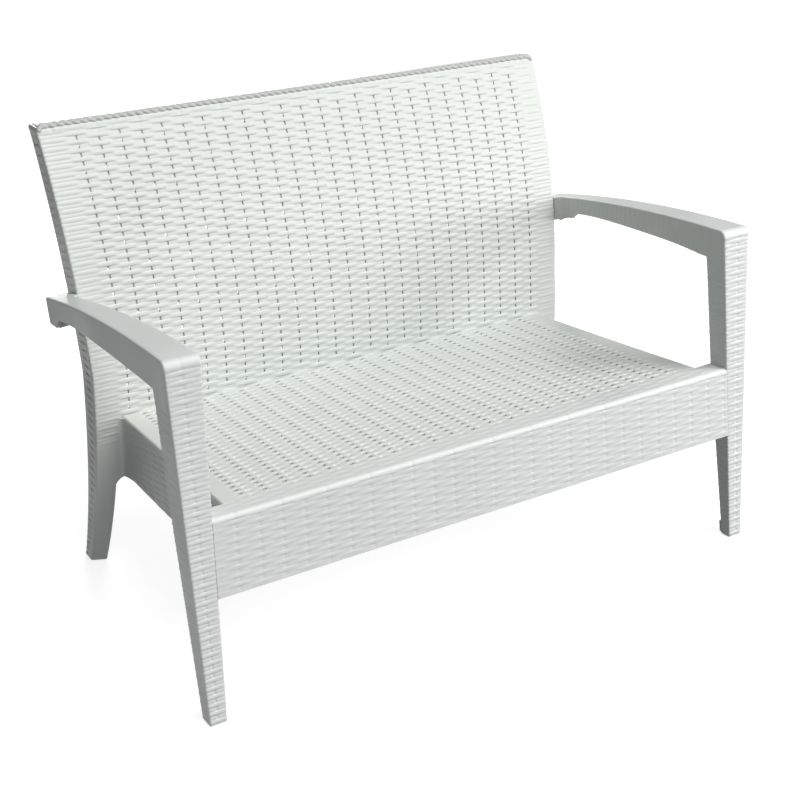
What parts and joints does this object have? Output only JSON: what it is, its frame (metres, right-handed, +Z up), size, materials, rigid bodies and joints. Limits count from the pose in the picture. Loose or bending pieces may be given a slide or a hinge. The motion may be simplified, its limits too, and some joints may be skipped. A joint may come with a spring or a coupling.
{
  "type": "two-seat garden bench",
  "caption": "White moulded-resin bench with a woven-look seat and curved back, open arms on tapered front legs and splayed rear legs.",
  "frame": {"origin": "bottom centre of the bench, on the floor midway between the front and rear feet", "axes": "+X to the right of someone facing the bench, +Y to the rear, +Z up"},
  "size_m": [1.16, 0.6941, 0.88],
  "materials": {
    "resin_back": "white polypropylene moulded with a woven rattan relief, satin",
    "resin_seat": "white polypropylene moulded with a slotted woven relief, satin",
    "resin_arms": "white polypropylene with fine moulded cross ribs, satin",
    "tube_steel": "galvanised steel tube",
    "plug_plastic": "grey moulded end plug",
    "foot_rubber": "light grey non-marking rubber",
    "fastener_steel": "stainless steel"
  },
  "bodies": {
    "root": {"back_shell": "resin_back", "seat_shell": "resin_seat", "arm_left": "resin_arms", "arm_right": "resin_arms", "seat_tube": "tube_steel", "tube_plug_left": "plug_plastic", "tube_plug_right": "plug_plastic", "foot_front_left": "foot_rubber", "foot_front_right": "foot_rubber", "foot_rear_left": "foot_rubber", "foot_rear_right": "foot_rubber", "arm_bolts_left": "fastener_steel", "arm_bolts_right": "fastener_steel", "arm_nuts_left": "fastener_steel", "arm_nuts_right": "fastener_steel", "front_bolts_left": "fastener_steel", "front_bolts_right": "fastener_steel", "front_nuts_left": "fastener_steel", "front_nuts_right": "fastener_steel", "rear_bolts_left": "fastener_steel", "rear_bolts_right": "fastener_steel", "rear_nuts_left": "fastener_steel", "rear_nuts_right": "fastener_steel"}
  },
  "joints": []
}
